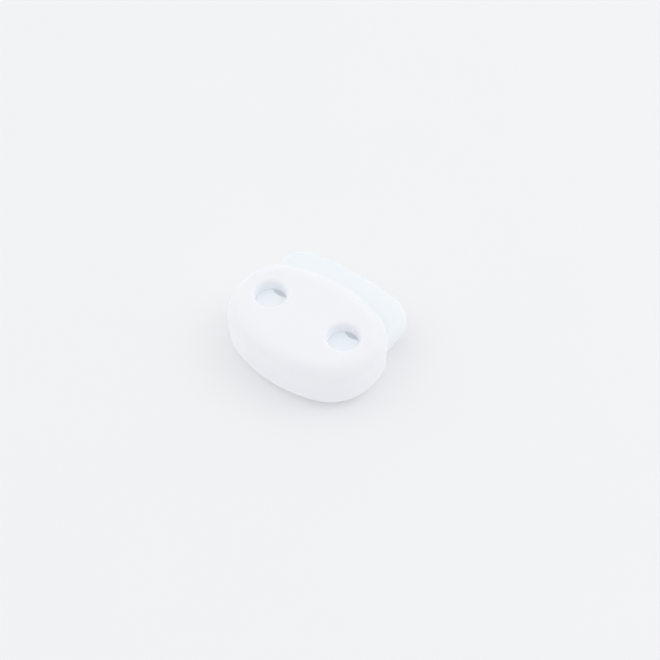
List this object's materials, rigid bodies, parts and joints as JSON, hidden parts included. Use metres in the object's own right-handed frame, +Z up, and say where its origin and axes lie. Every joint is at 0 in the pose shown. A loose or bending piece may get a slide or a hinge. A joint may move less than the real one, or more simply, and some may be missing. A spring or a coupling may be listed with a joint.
{
  "type": "two-hole spring cord lock",
  "caption": "Flat oval drawstring stopper with a sprung plunger whose cord holes line up with the body's when it is pressed.",
  "frame": {"origin": "centre of the flat underside, midway between the cord holes", "axes": "+X from the left cord hole to the right one, +Y towards the plunger's button, +Z up through the cord holes"},
  "size_m": [0.02, 0.0176, 0.0068],
  "materials": {
    "body_plastic": "satin white moulded plastic",
    "plunger_plastic": "satin white moulded plastic",
    "spring_steel": "bright drawn spring wire"
  },
  "bodies": {
    "body": {"body": "body_plastic", "spring": "spring_steel"},
    "plunger": {"plunger": "plunger_plastic"}
  },
  "joints": [
    {"name": "plunger_slide", "type": "slide", "parent": "body", "child": "plunger", "axis": [0, -1, 0], "range_m": [0, 0.0034], "stiffness_N_per_m": 1200, "springref_m": -0.003, "deforming": ["spring"]}
  ]
}
